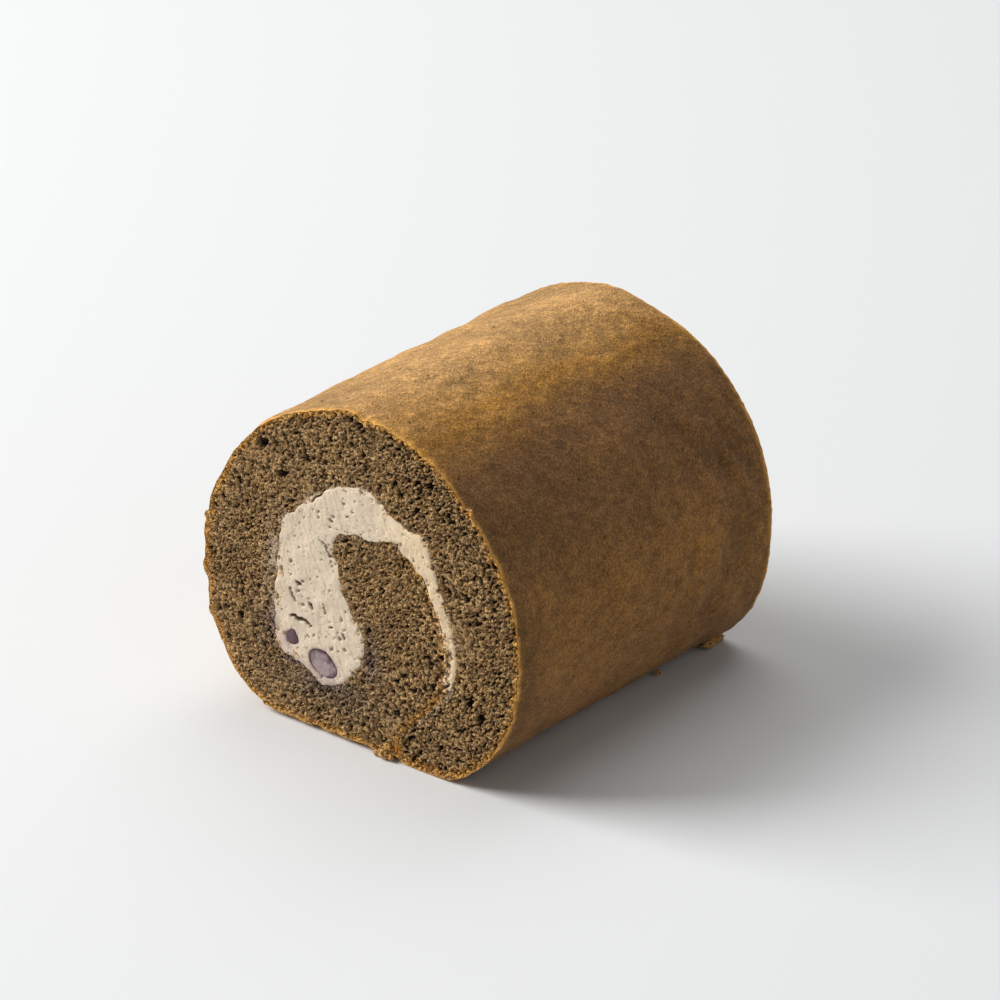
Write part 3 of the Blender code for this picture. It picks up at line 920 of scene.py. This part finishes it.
def crumb_material():
    """Open brown sponge."""
    made, tree, shader = new_material("crumb", 0.65)
    # Painted highlights along the crumb's threads, from a pattern that also gives their bump
    fibres_and_highlights = web(tree, 1100, 0.09)
    mottle = ramp(tree, noise(tree, 900, 3.0), 0.35, 0.68)
    colour = mix(tree, ramp(tree, fibres_and_highlights, 0, 1, 0, 0.85), CRUMB_DARK, CRUMB_THREAD_HIGHLIGHT)
    colour = shade(tree, colour, ramp(tree, noise(tree, 90, 2.0), 0.3, 0.7, 0.85, 1.12))
    # Fine specks of painted shade for small pores that have no relief
    painted_pore_shade = ramp(tree, noise(tree, 1500, 1.0), 0.43, 0.33, 0.0, 0.8)
    orange = mix(tree, ramp(tree, noise(tree, 700, 3.0), 0.35, 0.65), CRUST_DARK, CRUST_LIGHT)
    colour = mix(tree, value_of(tree, "crust"), colour, orange)
    grey = mix(tree, mottle, (0.25, 0.172, 0.108), (0.50, 0.355, 0.23))
    colour = mix(tree, ramp(tree, value_of(tree, "damp"), 0, 1, 0, 0.7), colour, grey)
    colour = mix(tree, ramp(tree, value_of(tree, "smear"), 0, 1, 0, 0.8), colour, CREAM_SMEAR)
    colour = mix(tree, ramp(tree, value_of(tree, "stain"), 0, 1, 0, 0.65), colour, STAIN)
    # Painted shade in the pits, holes and gaps
    dark = add(tree, "ShaderNodeMath", {0: ramp(tree, value_of(tree, "pit_shade"), 0.28, 0.85, 0.0, 0.96),
                                        1: painted_pore_shade}, operation="MAXIMUM").outputs[0]
    colour = mix(tree, dark, colour, CRUMB_PIT_SHADE)
    tree.links.new(colour, shader.inputs["Base Color"])
    relief = add(tree, "ShaderNodeMath", {0: fibres_and_highlights, 1: noise(tree, 3000, 2.0, 0.6)},
                 operation="ADD").outputs[0]
    tree.links.new(bump(tree, relief, 1.0, 0.30 * MM), shader.inputs["Normal"])
    shader.inputs["Specular IOR Level"].default_value = 0.45
    return made


def skin_material():
    """Dry, suede-like baked crust."""
    made, tree, shader = new_material("crust", 0.75)
    # Mixed by the crust's browning and painted light: lighter on the top where the light falls, darker on the shaded
    # side
    gold_and_painted_light = value_of(tree, "gold_and_painted_light")
    colour = mix(tree, ramp(tree, gold_and_painted_light, 0.0, 0.5), SKIN_BROWN, SKIN_AMBER)
    colour = mix(tree, ramp(tree, gold_and_painted_light, 0.5, 1.0), colour, SKIN_GOLD)
    # Painted shade in the crust's hollows and painted light on its rises
    colour = shade(tree, colour, ramp(tree, value_of(tree, "rise"), -0.6, 0.6, 0.78, 1.20))
    colour = shade(tree, colour, ramp(tree, noise(tree, 42, 3.0), 0.3, 0.7, 0.86, 1.12))
    colour = shade(tree, colour, ramp(tree, noise(tree, 260, 4.0, 0.65), 0.32, 0.68, 0.84, 1.14))
    # Darker towards the bottom on the right, near the front cut
    colour = shade(tree, colour, ramp(tree, value_of(tree, "darker_low_front"), 0, 1, 1, 0.66))
    drawn = streaks(tree, 520, -35, 2.6)
    colour = shade(tree, colour, ramp(tree, drawn, 0.35, 0.65, 0.83, 1.18))
    wrinkles = web(tree, 1000, 0.10)
    colour = shade(tree, colour, ramp(tree, wrinkles, 0, 1, 0.80, 1.32))
    colour = shade(tree, colour, ramp(tree, noise(tree, 2200, 3.0, 0.75), 0.36, 0.64, 0.66, 1.32))
    edge = mix(tree, ramp(tree, noise(tree, 800, 3.0), 0.4, 0.6), CRUST_DARK, CRUST_LIGHT)
    colour = mix(tree, value_of(tree, "rim"), colour, edge)
    # Painted shade in the crust's small pits
    colour = mix(tree, value_of(tree, "pit_shade"), colour, (0.05, 0.022, 0.008))
    tree.links.new(colour, shader.inputs["Base Color"])
    pebble = noise(tree, 600, 5.0, 0.65)
    height = add(tree, "ShaderNodeMath", {0: ramp(tree, wrinkles, 0, 1, 0, 0.2), 1: pebble},
                 operation="ADD")
    height = add(tree, "ShaderNodeMath", {0: drawn, 1: height.outputs[0]}, operation="ADD").outputs[0]
    tree.links.new(bump(tree, height, 1.0, 0.42 * MM), shader.inputs["Normal"])
    shader.inputs["Specular IOR Level"].default_value = 0.15
    shader.inputs["Sheen Weight"].default_value = 0.06
    shader.inputs["Sheen Roughness"].default_value = 0.5
    return made


def cream_material():
    """Soft beige cream."""
    made, tree, shader = new_material("cream", 0.5)
    colour = mix(tree, ramp(tree, value_of(tree, "warm"), 0, 1, 0, 0.8), CREAM, CREAM_WARM)
    colour = shade(tree, colour, ramp(tree, noise(tree, 150, 4.0), 0.3, 0.7, 0.80, 1.03))
    freckle = ramp(tree, noise(tree, 1300, 3.0), 0.56, 0.70, 0.0, 0.5)
    colour = mix(tree, freckle, colour, (0.55, 0.40, 0.25))
    colour = mix(tree, ramp(tree, value_of(tree, "stain"), 0, 1, 0, 0.7), colour, (0.34, 0.235, 0.24))
    # Crumbs on the cream, with painted highlights along their threads
    sponge = mix(tree, web(tree, 1100, 0.09), CRUMB_DARK, CRUMB_THREAD_HIGHLIGHT)
    colour = mix(tree, value_of(tree, "crumbs"), colour, sponge)
    # Painted shade in the cream's pits, cracks and where it has come away from the sponge
    colour = mix(tree, ramp(tree, value_of(tree, "pit_shade"), 0.12, 0.7, 0.0, 0.92), colour, (0.09, 0.05, 0.025))
    tree.links.new(colour, shader.inputs["Base Color"])
    grain = noise(tree, 1500, 5.0, 0.65)
    tree.links.new(bump(tree, grain, 0.7, 0.16 * MM), shader.inputs["Normal"])
    shader.inputs["Subsurface Weight"].default_value = 0.15
    shader.inputs["Subsurface Radius"].default_value = (1.0, 0.6, 0.35)
    shader.inputs["Subsurface Scale"].default_value = 1.5 * MM
    return made


def bean_material():
    """The moist cut flesh of a sweet azuki bean and its dark skin."""
    made, tree, shader = new_material("bean", 0.38)
    flesh = mix(tree, value_of(tree, "pale"), (0.088, 0.038, 0.050), (0.37, 0.275, 0.275))
    flesh = shade(tree, flesh, ramp(tree, noise(tree, 900, 4.0, 0.7), 0.35, 0.65, 0.78, 1.18))
    colour = mix(tree, value_of(tree, "skin"), flesh, (0.075, 0.028, 0.042))
    tree.links.new(colour, shader.inputs["Base Color"])
    grain = noise(tree, 2600, 4.0, 0.6)
    tree.links.new(bump(tree, grain, 0.4, 0.08 * MM), shader.inputs["Normal"])
    return made


def floor_material():
    """A plain pale floor."""
    made, tree, shader = new_material("floor", 0.9)
    shader.inputs["Base Color"].default_value = (0.745, 0.755, 0.755, 1.0)
    shader.inputs["Specular IOR Level"].default_value = 0.1
    return made


# ------------------------------------------------------------------------- put together

def place(piece, slot, *nodes):
    """The piece rides on the one body and stands for its CAD nodes."""
    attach(piece, "root")
    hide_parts(*nodes)


def build_crumb(section, finish):
    """The cut sponge at one end, the front in two halves."""
    step = FRONT_STEP if section.front else REAR_STEP
    flat, quads = face_grid([section.outer, section.channel], step, section.seed)
    height, values = crumb_relief(flat, section)
    across = flat[quads, 0].mean(1)
    halves = {"crumb_rear": across < np.inf}
    if section.front:
        middle = np.median(across)
        halves = {"crumb_front_left": across < middle, "crumb_front_right": across >= middle}
    for name, chosen in halves.items():
        piece = slab(name, flat, quads[chosen], height, values, section.front, SPONGE_BACK, finish)
        place(piece, "sponge", "sponge")


def build_filling(section, cream, bean):
    """The cut cream and beans at one end."""
    pockets = []
    for node in BEAN_NODES[section.front]:
        line = bean_outline(node, section.front)
        pockets.append(line + outward(line) * 0.12 * MM)
        seed = section.seed + 20 + len(pockets)
        flat, quads = face_grid([line], BEAN_STEP, seed)
        height, values = bean_relief(flat, line, seed, "small" in node)
        piece = slab(node + "_cut", flat, quads, height, values, section.front, BEAN_BACK, bean)
        place(piece, "bean", node)

    inside = section.channel - outward(section.channel) * 0.04 * MM
    flat, quads = face_grid([inside] + pockets, CREAM_STEP, section.seed + 3)
    height, values = cream_relief(flat, section, pockets)
    end = "front" if section.front else "rear"
    piece = slab(f"cream_{end}", flat, quads, height, values, section.front, CREAM_BACK, cream)
    place(piece, "cream", "cream")


def build_stage():
    """The floor, the lights, the world and the camera."""
    bpy.ops.mesh.primitive_plane_add(size=8.0, location=(0, 0, -0.0002))
    floor = bpy.context.object
    floor.name = "floor"
    floor.data.materials.append(floor_material())

    def softbox(name, place, size, power):
        light = bpy.data.lights.new(name, "AREA")
        light.shape = "SQUARE"
        light.size = size
        light.energy = power
        made = bpy.data.objects.new(name, light)
        made.location = place
        aim = Vector((0, 0, 0.04)) - made.location
        made.rotation_euler = aim.to_track_quat("-Z", "Y").to_euler()
        bpy.context.scene.collection.objects.link(made)

    softbox("key", (-1.75, -1.00, 1.55), 1.5, 80.0)
    softbox("top", (-0.50, 0.90, 2.10), 2.0, 20.0)
    softbox("fill", (1.75, -0.60, 0.95), 1.8, 4.0)

    world = bpy.data.worlds.new("studio")
    bpy.context.scene.world = world
    world.use_nodes = True
    background = world.node_tree.nodes["Background"]
    background.inputs["Color"].default_value = (1.0, 1.0, 1.0, 1.0)
    background.inputs["Strength"].default_value = 0.16

    camera = bpy.data.cameras.new("camera")
    camera.lens = 100.0
    camera.sensor_width = 24.0
    made = bpy.data.objects.new("camera", camera)
    made.location = (0.5502, FRONT - 0.64425, 0.4674)
    made.rotation_euler = (math.radians(90 - 25.5), 0, math.radians(38.3))
    bpy.context.scene.collection.objects.link(made)
    bpy.context.scene.camera = made
    bpy.context.scene.view_settings.view_transform = "Standard"


def main():
    crumb, cream, bean = crumb_material(), cream_material(), bean_material()
    for section in (Section(True), Section(False)):
        build_crumb(section, crumb)
        build_filling(section, cream, bean)
    place(skin_piece(skin_material()), "sponge", "sponge")
    place(loose_crumbs(crumb), "sponge", "sponge")
    place(core("sponge", "sponge_core", 3.0 * MM, crumb), "sponge", "sponge")
    place(core("cream", "cream_core", 0.1 * MM, cream), "cream", "cream")
    build_stage()


main()
